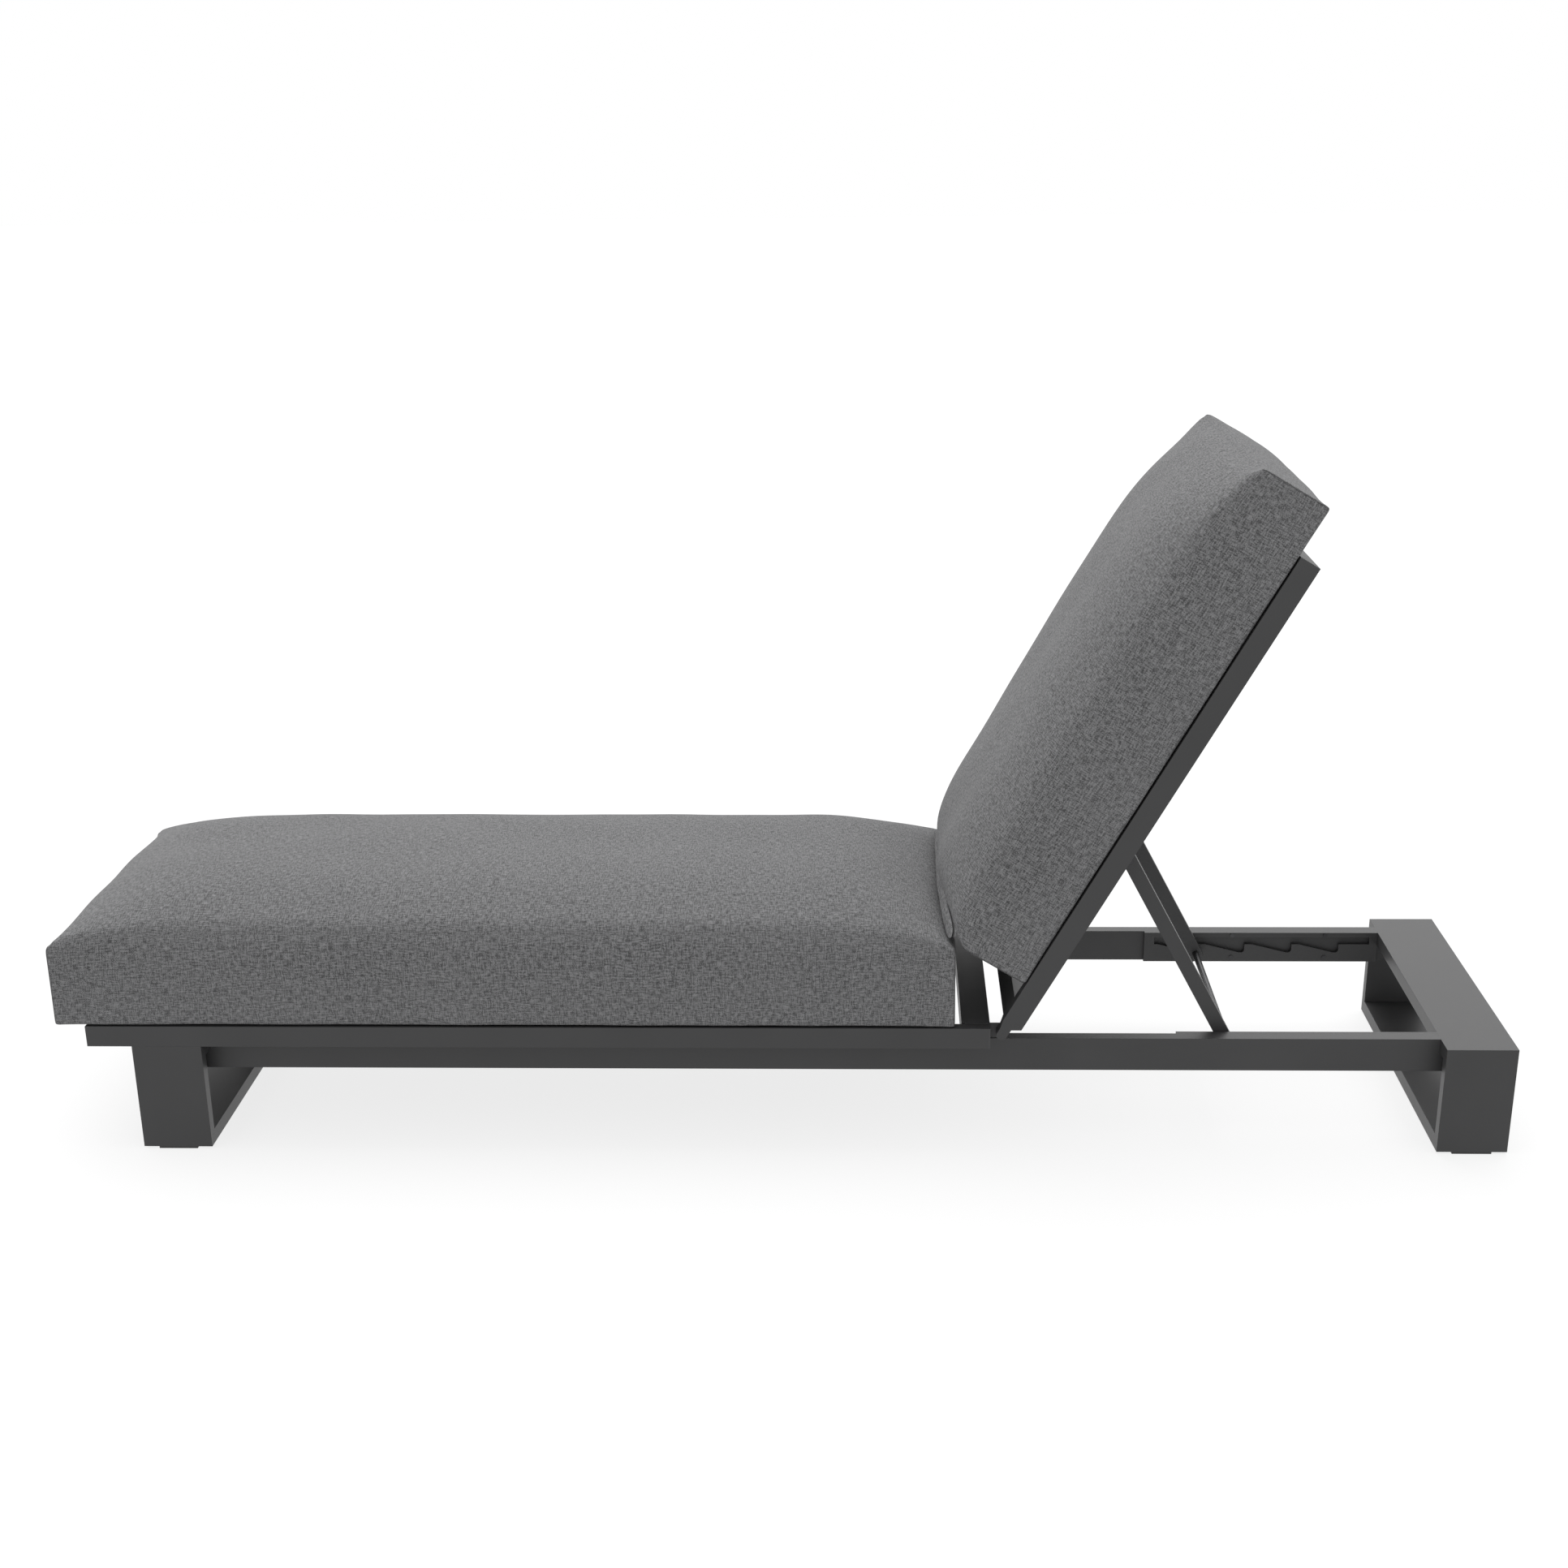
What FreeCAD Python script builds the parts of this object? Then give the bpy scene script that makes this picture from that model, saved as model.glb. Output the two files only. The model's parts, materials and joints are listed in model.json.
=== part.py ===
"""Reclining sun lounger: welded aluminium frame, slatted deck, notched backrest prop and two loose cushions.

Frame of the part: +X runs from the foot to the head, +Y from the sitter's left to the right, +Z is up.
The origin is on the floor, below the middle of the overall length. Lengths are millimetres, angles degrees.
"""
import FreeCAD, Part
import Sketcher
import math
import os

SIDES = (("left", -1), ("right", 1))

# The driving dimensions: alias, value, what it is.
DIMENSIONS = (
    ("FrameLength", 1966, "outer face of the foot hoop to outer face of the head hoop"),
    ("DeckOverhang", 64, "deck past the outer face of the foot hoop"),
    ("CushionOverhang", 44, "seat cushion past the foot end of the deck"),
    ("HoopWidth", 600, "overall width of a hoop"),
    ("HoopHeight", 158, "floor to the top of a hoop"),
    ("HoopDepth", 100, "wide side of the hoop's flat tube"),
    ("HoopTube", 20, "narrow side of the hoop's flat tube"),
    ("TubeWall", 2, "wall of every tube"),
    ("GlideHeight", 3, "floor to the underside of a hoop"),
    ("GlideLength", 56, "glide along the length of the lounger"),
    ("GlideWidth", 26, "glide across the lounger"),
    ("RailInset", 43, "hoop's outer face to a side rail's outer face"),
    ("RailWidth", 22, "side rail across"),
    ("RailHeight", 48, "side rail, upright"),
    ("RailTongue", 80, "lower part of a side rail that runs on below a hoop's top"),
    ("DeckLength", 1290, "deck, foot end to head end"),
    ("DeckTubeHeight", 30, "deck tube, upright"),
    ("DeckTubeWidth", 20, "deck tube across"),
    ("HeadRailWidth", 40, "last cross tube of the deck, along the lounger"),
    ("FootRailWidth", 20, "first cross tube of the deck, along the lounger"),
    ("CrossRailWidth", 30, "cross tube under the slats, along the lounger"),
    ("CrossRailCount", 3, "cross tubes under the deck slats"),
    ("SlatWidth", 60, "slat, along the lounger"),
    ("SlatHeight", 10, "depth of a slat's channel"),
    ("SlatGauge", 2, "sheet that a slat is folded from"),
    ("DeckSlatCount", 13, "slats of the deck"),
    ("BackSlatCount", 7, "slats of the backrest"),
    ("HingeGap", 16, "head end of the deck to the hinge axis"),
    ("HingeDepth", 10, "face of the backrest to the hinge axis"),
    ("HingeBolt", 8, "diameter of the hinge bolts"),
    ("HingeHead", 15, "diameter of the hinge bolts' heads"),
    ("HeadThickness", 4, "height of a bolt head"),
    ("BracketPlate", 5, "thickness of a hinge bracket"),
    ("BracketLap", 35, "hinge bracket along the deck rail"),
    ("BracketNose", 10, "radius of a hinge bracket round its bolt"),
    ("WasherPlate", 1, "thickness of a hinge washer"),
    ("WasherDiameter", 14, "outer diameter of a hinge washer"),
    ("SideGap", 0.3, "clearance each side of a washer or an arm"),
    ("FitGap", 0.05, "radial clearance of a turning bolt"),
    ("LieGap", 0.4, "clearance below the backrest when it lies flat"),
    ("BackAngle", 60, "backrest above the horizontal in its first notch"),
    ("BackLength", 753, "hinge axis to the top of the backrest's tubes"),
    ("BackTubeDepth", 30, "backrest tube, front to rear"),
    ("TongueNose", 7.5, "radius of a hinge tongue round its bolt"),
    ("TongueStart", 20, "hinge axis to the lower end of a backrest tube"),
    ("TonguePlug", 30, "tongue inside the backrest tube"),
    ("TongueBore", 13, "depth of the bolt's hole in a tongue"),
    ("BottomRailStart", 22, "hinge axis to the backrest's lowest cross tube"),
    ("CapPlate", 2, "visible thickness of a tube cap"),
    ("CapPlug", 14, "tube cap inside its tube"),
    ("PropAlong", 287, "hinge axis to the prop's pivot, along the backrest"),
    ("PropBehind", 17.5, "rear face of the backrest to the prop's pivot"),
    ("PropLength", 319, "prop's pivot to its rod"),
    ("PropTube", 20, "square tube of the prop's arms"),
    ("PropInset", 3, "notched plate to an arm"),
    ("PropBolt", 8, "diameter of the prop's pivot bolts"),
    ("PropHead", 13, "diameter of the pivot bolts' heads"),
    ("PropOvershoot", 10, "arm past its pivot and past its rod"),
    ("LugPlate", 5, "thickness of a prop lug"),
    ("LugWidth", 34, "prop lug where it meets its cross tube"),
    ("RodDiameter", 10, "rod across the foot of the prop"),
    ("RodEndGap", 1, "rod's end to the notched plate"),
    ("PlatePlate", 8, "thickness of a notched plate"),
    ("PlateLead", 80, "notched plate ahead of the first notch"),
    ("SlotLead", 64, "slot ahead of the first notch"),
    ("SlotLedge", 19.2, "underside of the slot's level floor below the rail's top"),
    ("SlotCeiling", 7.6, "top of the slot below the rail's top"),
    ("NotchDepth", 13.4, "notch below the slot's level floor"),
    ("NotchPitch", 75, "distance between notches"),
    ("NotchCount", 4, "notches"),
    ("NotchRamp", 58, "start of a notch's ramp ahead of its rod"),
    ("NotchGap", 0.4, "notch's radius over the rod's"),
    ("SlotEndGap", 0.6, "slot past the rod when the backrest lies flat"),
    ("RivetDiameter", 7, "head of a plate rivet"),
    ("RivetHead", 1.5, "height of a plate rivet's head"),
    ("RivetLead", 60, "first notch to the first rivets"),
    ("RivetPitch", 148, "distance between rivets"),
    ("CushionThickness", 122, "seat cushion at its edges"),
    ("BackCushionThickness", 109, "back cushion at its edges"),
    ("CushionInset", 2, "cushion inside the frame's width, each side"),
    ("CushionGap", 0.6, "cushion above the tubes it lies on"),
    ("SeatCushionEnd", 49, "head end of the deck to the end of the seat cushion"),
    ("BackCushionStart", 80, "hinge axis to the lower end of the back cushion"),
    ("BackCushionLength", 734, "back cushion, along the backrest"),
    ("CushionRound", 18, "rounding of the cushions' long edges"),
    ("HeelLength", 60, "bevel under the back cushion's lower end, along it"),
    ("HeelRise", 9, "bevel under the back cushion's lower end, at the end"),
)

doc = FreeCAD.newDocument("SunLounger")
sheet = doc.addObject("Spreadsheet::Sheet", "Sizes")
parts = {}


class Size:
    """A number together with the spreadsheet expression that gives it."""

    def __init__(self, text, value):
        self.text = text
        self.value = value

    def __add__(self, other):
        other = size(other)
        return Size(f"({self.text} + {other.text})", self.value + other.value)

    def __sub__(self, other):
        other = size(other)
        return Size(f"({self.text} - {other.text})", self.value - other.value)

    def __mul__(self, other):
        other = size(other)
        return Size(f"({self.text} * {other.text})", self.value * other.value)

    def __truediv__(self, other):
        other = size(other)
        return Size(f"({self.text} / {other.text})", self.value / other.value)

    def __neg__(self):
        return Size(f"(-1 * {self.text})", -self.value)

    def __radd__(self, other):
        return size(other) + self

    def __rsub__(self, other):
        return size(other) - self

    def __rmul__(self, other):
        return size(other) * self

    def __rtruediv__(self, other):
        return size(other) / self


def size(number):
    """A plain number as a Size."""
    return number if isinstance(number, Size) else Size(repr(number), number)


def sine(degrees):
    return Size(f"sin({degrees.text} * 1 deg)", math.sin(math.radians(degrees.value)))


def cosine(degrees):
    return Size(f"cos({degrees.text} * 1 deg)", math.cos(math.radians(degrees.value)))


def arcsine(ratio):
    return Size(f"(asin({ratio.text}) / 1 deg)", math.degrees(math.asin(ratio.value)))


def fill_sheet():
    """Write the driving dimensions, one row each, and give them back by alias."""
    cells = {}
    for row, (alias, value, meaning) in enumerate(DIMENSIONS, start=1):
        sheet.set(f"A{row}", meaning)
        sheet.set(f"B{row}", str(value))
        sheet.setAlias(f"B{row}", alias)
        cells[alias] = Size(f"Sizes.{alias}", value)
    doc.recompute()
    return cells


def bind(target, path, number):
    """Set a property through an expression, so that it follows the sheet."""
    target.setExpression(path, size(number).text)


def place(target, x=0, y=0, z=0, turn=None):
    """Put an object at a point, turned about the Y axis by an angle in degrees."""
    if turn is not None:
        target.Placement = FreeCAD.Placement(
            FreeCAD.Vector(), FreeCAD.Rotation(FreeCAD.Vector(0, 1, 0), size(turn).value)
        )
        bind(target, "Placement.Rotation.Angle", turn)
    for axis, number in zip("xyz", (x, y, z)):
        bind(target, f"Placement.Base.{axis}", number)


class Piece:
    """One node: a body whose sketches and features are bound to the sheet."""

    def __init__(self, name):
        self.name = name
        self.body = doc.addObject("PartDesign::Body", name)
        self.body.Label = name
        parts[name] = self.body

    def place(self, **where):
        place(self.body, **where)
        return self

    def _sketch(self, role, offset, loops, rounds):
        """Closed outlines and circles on an origin plane, moved along its normal by offset."""
        sketch = self.body.newObject("Sketcher::SketchObject", f"{self.name}_sketch")
        plane = next(item for item in self.body.Origin.OriginFeatures if item.Role == role)
        sketch.AttachmentSupport = [(plane, "")]
        sketch.MapMode = "FlatFace"
        bind(sketch, "AttachmentOffset.Base.z", offset)
        for loop in loops:
            self._loop(sketch, [(size(x), size(y)) for x, y in loop])
        for x, y, radius in rounds:
            self._round(sketch, size(x), size(y), size(radius))
        return sketch

    def _fix(self, sketch, geometry, corner, x, y):
        """Hold one point of the sketch at its distances from the origin."""
        for kind, number in (("DistanceX", x), ("DistanceY", y)):
            index = sketch.addConstraint(Sketcher.Constraint(kind, -1, 1, geometry, corner, number.value))
            bind(sketch, f"Constraints[{index}]", number)

    def _loop(self, sketch, points):
        first = sketch.GeometryCount
        spots = [FreeCAD.Vector(x.value, y.value, 0) for x, y in points]
        for start, end in zip(spots, spots[1:] + spots[:1]):
            sketch.addGeometry(Part.LineSegment(start, end), False)
        for step, (x, y) in enumerate(points):
            before = first + (step - 1) % len(points)
            sketch.addConstraint(Sketcher.Constraint("Coincident", before, 2, first + step, 1))
            self._fix(sketch, first + step, 1, x, y)

    def _round(self, sketch, x, y, radius):
        centre = FreeCAD.Vector(x.value, y.value, 0)
        circle = sketch.addGeometry(Part.Circle(centre, FreeCAD.Vector(0, 0, 1), radius.value), False)
        self._fix(sketch, circle, 3, x, y)
        index = sketch.addConstraint(Sketcher.Constraint("Radius", circle, radius.value))
        bind(sketch, f"Constraints[{index}]", radius)

    def _feature(self, kind, role, low, high, loops, rounds):
        """A pad from low to high along the plane's normal, or a pocket that cuts the same span."""
        offset = low if kind == "Pad" else high
        sketch = self._sketch(role, offset, loops, rounds)
        feature = self.body.newObject(f"PartDesign::{kind}", f"{self.name}_{kind.lower()}")
        feature.Profile = sketch
        bind(feature, "Length", size(high) - low)
        doc.recompute()
        return self

    def pad(self, role, low, high, *loops, rounds=()):
        return self._feature("Pad", role, low, high, loops, rounds)

    def cut(self, role, low, high, *loops, rounds=()):
        """Take the span away, and check that it did take something away."""
        before = self.body.Shape.Volume
        self._feature("Pocket", role, low, high, loops, rounds)
        if self.body.Shape.Volume >= before:
            raise RuntimeError(f"{self.name}: a cut took nothing away")
        return self

    def array(self, axis_role, pitch, count):
        """Repeat everything so far along one axis of the body."""
        axis = next(item for item in self.body.Origin.OriginFeatures if item.Role == axis_role)
        base = self.body.Tip
        self.body.AllowCompound = True
        pattern = self.body.newObject("PartDesign::LinearPattern", f"{self.name}_pattern")
        pattern.Originals = [base]
        pattern.Direction = (axis, [""])
        bind(pattern, "Length", size(pitch) * (size(count) - 1))
        bind(pattern, "Occurrences", count)
        self.body.Tip = pattern
        doc.recompute()
        return self


def rectangle(x_low, x_high, y_low, y_high):
    return [(x_low, y_low), (x_high, y_low), (x_high, y_high), (x_low, y_high)]


def hollow(x_low, x_high, y_low, y_high, wall):
    """Outline of a rectangular tube's section: its outside and its inside."""
    inside = rectangle(size(x_low) + wall, size(x_high) - wall, size(y_low) + wall, size(y_high) - wall)
    return rectangle(x_low, x_high, y_low, y_high), inside


def side_span(side, inner, outer):
    """Span along the XZ plane's normal, which is -Y, of something between two distances from the middle."""
    return (inner, outer) if side < 0 else (-size(outer), -size(inner))


def side_y(side, distance):
    return size(distance) * side


S = fill_sheet()

# Places that several pieces share, worked out from the sheet.
overall = S["FrameLength"] + S["DeckOverhang"] + S["CushionOverhang"]
head_face = overall / 2
head_inner = head_face - S["HoopDepth"]
foot_face = head_face - S["FrameLength"]
foot_inner = foot_face + S["HoopDepth"]
half_width = S["HoopWidth"] / 2
top = S["HoopHeight"]
wall = S["TubeWall"]
rail_outer = half_width - S["RailInset"]
rail_inner = rail_outer - S["RailWidth"]
deck_foot = foot_face - S["DeckOverhang"]
deck_head = deck_foot + S["DeckLength"]
deck_inner = half_width - S["DeckTubeWidth"]
deck_top = top + S["DeckTubeHeight"]
cross_height = S["DeckTubeHeight"] - S["SlatHeight"]
back_front = S["HingeDepth"]
back_rear = S["HingeDepth"] - S["BackTubeDepth"]
hinge_x = deck_head + S["HingeGap"]
hinge_z = top + S["LieGap"] - back_rear
prop_across = back_rear - S["PropBehind"]
plate_inner = rail_inner - S["PlatePlate"]
arm_outer = plate_inner - S["PropInset"]
arm_inner = arm_outer - S["PropTube"]
slot_floor = top - S["SlotLedge"]
slot_ceiling = top - S["SlotCeiling"]
rod_radius = S["RodDiameter"] / 2
notch_radius = rod_radius + S["NotchGap"]
rod_z = slot_floor - S["NotchDepth"] + rod_radius
back_sine = sine(S["BackAngle"])
back_cosine = cosine(S["BackAngle"])
prop_x = hinge_x + S["PropAlong"] * back_cosine - prop_across * back_sine
prop_z = hinge_z + S["PropAlong"] * back_sine + prop_across * back_cosine
prop_angle = arcsine((prop_z - rod_z) / S["PropLength"])
rod_x = prop_x + S["PropLength"] * cosine(prop_angle)
flat_rod_x = hinge_x + S["PropAlong"] + S["PropLength"]
tongue_inner = deck_inner + S["WasherPlate"] + 2 * S["SideGap"]


def on_backrest(piece):
    """Put a piece drawn in the backrest's own plane at the hinge, leaning with the backrest."""
    return piece.place(x=hinge_x, z=hinge_z, turn=-S["BackAngle"])


def on_prop(piece):
    """Put a piece drawn along the prop at the prop's pivot, pointing down to the rod."""
    return piece.place(x=prop_x, z=prop_z, turn=prop_angle)


def mitred(name, x_low, outside, inside):
    """One side of a hoop: a trapezium between two mitres, hollow, with the cavity open at the mitres."""
    piece = Piece(name)
    piece.pad("YZ_Plane", 0, S["HoopDepth"], outside)
    piece.cut("YZ_Plane", wall, S["HoopDepth"] - wall, inside)
    piece.place(x=x_low)


def hoop(name, x_low):
    """Four flat tubes with mitred corners, standing across the lounger on its glides."""

    def corner(side, level, inset):
        """A point on a corner's mitre, set in from the outside; level is +1 at the top, -1 at the floor."""
        z_outer = top if level > 0 else S["GlideHeight"]
        return side_y(side, half_width - inset), z_outer - size(inset) * level

    def run(first, second):
        """Outside and cavity of the tube that runs from one corner to another."""
        walls = []
        for outer, inner in ((size(0), S["HoopTube"]), (wall, S["HoopTube"] - wall)):
            walls.append([corner(*first, outer), corner(*second, outer), corner(*second, inner), corner(*first, inner)])
        return walls

    mitred(f"{name}_top", x_low, *run((-1, 1), (1, 1)))
    mitred(f"{name}_bottom", x_low, *run((-1, -1), (1, -1)))
    for side_name, side in SIDES:
        mitred(f"{name}_leg_{side_name}", x_low, *run((side, -1), (side, 1)))


def glides():
    """Four pads under the hoops' corners that carry the lounger."""
    for hoop_name, x_low in (("foot", foot_face), ("head", head_inner)):
        for side_name, side in SIDES:
            near = half_width - S["GlideWidth"]
            piece = Piece(f"glide_{hoop_name}_{side_name}")
            edges = sorted((side_y(side, near), side_y(side, half_width)), key=lambda edge: edge.value)
            piece.pad("XY_Plane", 0, S["GlideHeight"], rectangle(0, S["GlideLength"], *edges))
            piece.place(x=x_low + (S["HoopDepth"] - S["GlideLength"]) / 2)


def side_rails():
    """Upright tubes between the hoops; their lower part runs on below the hoops' tops."""
    length = head_inner - foot_inner + 2 * S["RailTongue"]
    step = top - S["HoopTube"]
    for side_name, side in SIDES:
        piece = Piece(f"side_rail_{side_name}")
        edges = sorted((side_y(side, rail_inner), side_y(side, rail_outer)), key=lambda edge: edge.value)
        piece.pad("YZ_Plane", 0, length, *hollow(*edges, top - S["RailHeight"], top, wall))
        span = side_span(side, rail_inner, rail_outer)
        for start, end in ((size(0), S["RailTongue"]), (length - S["RailTongue"], length)):
            piece.cut("XZ_Plane", *span, rectangle(start, end, step, top))
        piece.place(x=foot_inner - S["RailTongue"])


def cross_tube(name, x_low, x_high, z_low, z_high, half_length):
    """A rectangular tube across the lounger, centred on its middle plane."""
    piece = Piece(name)
    piece.pad("XZ_Plane", -half_length, half_length, *hollow(x_low, x_high, z_low, z_high, wall))
    return piece


def slat(name, x_low, z_top, half_length):
    """A sheet folded to a shallow channel that is open below."""
    width, depth, gauge = S["SlatWidth"], S["SlatHeight"], S["SlatGauge"]
    x_high = x_low + width
    z_low = z_top - depth
    section = [
        (x_low, z_top), (x_high, z_top), (x_high, z_low), (x_high - gauge, z_low),
        (x_high - gauge, z_top - gauge), (x_low + gauge, z_top - gauge), (x_low + gauge, z_low), (x_low, z_low),
    ]
    return Piece(name).pad("XZ_Plane", -half_length, half_length, section)


def slats(name, start, end, count, z_top):
    """Equal slats with equal gaps between two cross tubes."""
    gap = (end - start - S["SlatWidth"] * count) / (count + 1)
    piece = slat(name, start + gap, z_top, deck_inner)
    return piece.array("X_Axis", S["SlatWidth"] + gap, count)


def cap(name, x_face, outward, y_low, y_high, z_low, z_high):
    """A moulded cap: a plate over a tube's end and a plug inside it."""
    piece = Piece(name)
    plate = (x_face, x_face + S["CapPlate"]) if outward > 0 else (x_face - S["CapPlate"], x_face)
    plug = (x_face - S["CapPlug"], x_face) if outward > 0 else (x_face, x_face + S["CapPlug"])
    piece.pad("YZ_Plane", *plate, rectangle(y_low, y_high, z_low, z_high))
    piece.pad("YZ_Plane", *plug, rectangle(y_low + wall, y_high - wall, z_low + wall, z_high - wall))
    return piece


def deck():
    """Side tubes flush with the hoops' outer faces, cross tubes between them and slats flush on top."""
    for side_name, side in SIDES:
        edges = sorted((side_y(side, deck_inner), side_y(side, half_width)), key=lambda edge: edge.value)
        rail = Piece(f"deck_rail_{side_name}")
        rail.pad("YZ_Plane", 0, S["DeckLength"] - 2 * S["CapPlate"], *hollow(*edges, top, deck_top, wall))
        rail.place(x=deck_foot + S["CapPlate"])
        for end_name, face, outward in (("foot", deck_foot + S["CapPlate"], -1), ("head", deck_head - S["CapPlate"], 1)):
            cap(f"deck_cap_{end_name}_{side_name}", face, outward, *edges, top, deck_top)
    cross_tube("deck_foot_rail", deck_foot, deck_foot + S["FootRailWidth"], top, deck_top, deck_inner)
    head_start = deck_head - S["HeadRailWidth"]
    cross_tube("deck_head_rail", head_start, deck_head, top, deck_top, deck_inner - S["BracketPlate"])
    slats("deck_slats", deck_foot + S["FootRailWidth"], head_start, S["DeckSlatCount"], deck_top)
    pitch = (head_start - deck_foot) / (S["CrossRailCount"] + 1)
    first = deck_foot + pitch - S["CrossRailWidth"] / 2
    rails = cross_tube("deck_cross_rails", first, first + S["CrossRailWidth"], top, top + cross_height, deck_inner)
    rails.array("X_Axis", pitch, S["CrossRailCount"])


def hinge_brackets():
    """Plates welded inside the deck rails, whose noses carry the backrest's bolts."""
    for side_name, side in SIDES:
        span = side_span(side, deck_inner - S["BracketPlate"], deck_inner)
        bolt = (hinge_x, hinge_z, S["HingeBolt"] / 2 + S["FitGap"])
        piece = Piece(f"hinge_bracket_{side_name}")
        low, high = hinge_z - S["BracketNose"], hinge_z + S["BracketNose"]
        piece.pad("XZ_Plane", *span, rectangle(deck_head - S["BracketLap"], hinge_x, low, high))
        piece.pad("XZ_Plane", *span, rounds=[(hinge_x, hinge_z, S["BracketNose"])])
        piece.cut("XZ_Plane", *span, rounds=[bolt])


def notched_plates():
    """Plates inside the side rails with a slot whose floor has one ramped notch for each position."""
    start = rod_x - S["PlateLead"]
    slot_start = rod_x - S["SlotLead"]
    slot_end = flat_rod_x + rod_radius + S["SlotEndGap"]
    outline = [(slot_end, slot_floor), (slot_end, slot_ceiling), (slot_start, slot_ceiling), (slot_start, slot_floor)]
    seats = []
    count = int(S["NotchCount"].value)
    for notch in range(count):
        seat = rod_x + S["NotchPitch"] * notch
        outline.append((seat - S["NotchRamp"], slot_floor))
        outline.append((seat - notch_radius / 2, rod_z - notch_radius))
        outline.append((seat + notch_radius, rod_z))
        outline.append((seat + notch_radius, slot_floor))
        seats.append((seat, rod_z, notch_radius))
    for side_name, side in SIDES:
        span = side_span(side, plate_inner, rail_inner)
        piece = Piece(f"notched_plate_{side_name}")
        piece.pad("XZ_Plane", *span, rectangle(start, head_inner, top - S["RailHeight"], top))
        piece.cut("XZ_Plane", *span, outline)
        piece.cut("XZ_Plane", *span, rounds=seats)


def plate_rivets():
    """Low rivet heads above and below the slot of each notched plate."""
    for side_name, side in SIDES:
        span = side_span(side, plate_inner - S["RivetHead"], plate_inner)
        upper = slot_ceiling + S["RivetDiameter"] / 2
        lower = top - S["RailHeight"] + S["RivetDiameter"]
        first = rod_x + S["RivetLead"]
        spots = [(first + S["RivetPitch"] * step, level) for step in (0, 1) for level in (upper, lower)]
        radius = S["RivetDiameter"] / 2
        piece = Piece(f"plate_rivets_{side_name}")
        piece.body.AllowCompound = True
        piece.pad("XZ_Plane", *span, rounds=[(x, z, radius) for x, z in spots])


def backrest_tubes():
    """Side tubes of the backrest, the solid tongues that close their lower ends, and their top caps."""
    low, high = back_rear, back_front
    nose = S["TongueNose"]
    start = S["TongueStart"]
    shoulder = start + (low + nose) * back_cosine / back_sine
    tongue = [(0, -nose), (0, nose), (nose, nose), (start, high), (start, low), (shoulder, -nose)]
    for side_name, side in SIDES:
        edges = sorted((side_y(side, deck_inner), side_y(side, half_width)), key=lambda edge: edge.value)
        tube = Piece(f"back_tube_{side_name}")
        tube.pad("YZ_Plane", start, S["BackLength"] - S["CapPlate"], *hollow(*edges, low, high, wall))
        on_backrest(tube)
        span = side_span(side, tongue_inner, half_width)
        plug = side_span(side, deck_inner + wall, half_width - wall)
        block = Piece(f"hinge_tongue_{side_name}")
        block.pad("XZ_Plane", *span, tongue)
        block.pad("XZ_Plane", *span, rounds=[(0, 0, nose)])
        block.pad("XZ_Plane", *plug, rectangle(start, start + S["TonguePlug"], low + wall, high - wall))
        bore = side_span(side, tongue_inner, tongue_inner + S["TongueBore"])
        block.cut("XZ_Plane", *bore, rounds=[(0, 0, S["HingeBolt"] / 2)])
        on_backrest(block)
        top_face = S["BackLength"] - S["CapPlate"]
        on_backrest(cap(f"back_cap_{side_name}", top_face, 1, *edges, low, high))


def backrest_cross_members():
    """Cross tubes of the backrest and its slats, which lie flush with the tubes' front faces."""
    start = S["BottomRailStart"]
    width = S["CrossRailWidth"]
    end = S["BackLength"]
    on_backrest(cross_tube("back_bottom_rail", start, start + width, back_rear, back_front, deck_inner))
    on_backrest(cross_tube("back_top_rail", end - width, end, back_rear, back_front, deck_inner))
    prop = S["PropAlong"] - width / 2
    slat_foot = back_front - S["SlatHeight"]
    on_backrest(cross_tube("back_prop_rail", prop, prop + width, back_rear, slat_foot, deck_inner))
    on_backrest(slats("back_slats", start + width, end - width, S["BackSlatCount"], back_front))


def hinge_fasteners():
    """Bolts held in the tongues that turn in the brackets, and the washers between the two."""
    head_start = deck_inner - S["BracketPlate"] - S["SideGap"] - S["HeadThickness"]
    radius = S["HingeBolt"] / 2
    for side_name, side in SIDES:
        bolt = Piece(f"hinge_bolt_{side_name}")
        shank = side_span(side, head_start, tongue_inner + S["TongueBore"])
        head = side_span(side, head_start, head_start + S["HeadThickness"])
        bolt.pad("XZ_Plane", *shank, rounds=[(0, 0, radius)])
        bolt.pad("XZ_Plane", *head, rounds=[(0, 0, S["HingeHead"] / 2)])
        on_backrest(bolt)
        washer = Piece(f"hinge_washer_{side_name}")
        face = deck_inner + S["SideGap"]
        span = side_span(side, face, face + S["WasherPlate"])
        rings = [(0, 0, S["WasherDiameter"] / 2), (0, 0, radius)]
        washer.pad("XZ_Plane", *span, rounds=rings)
        on_backrest(washer)


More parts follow.
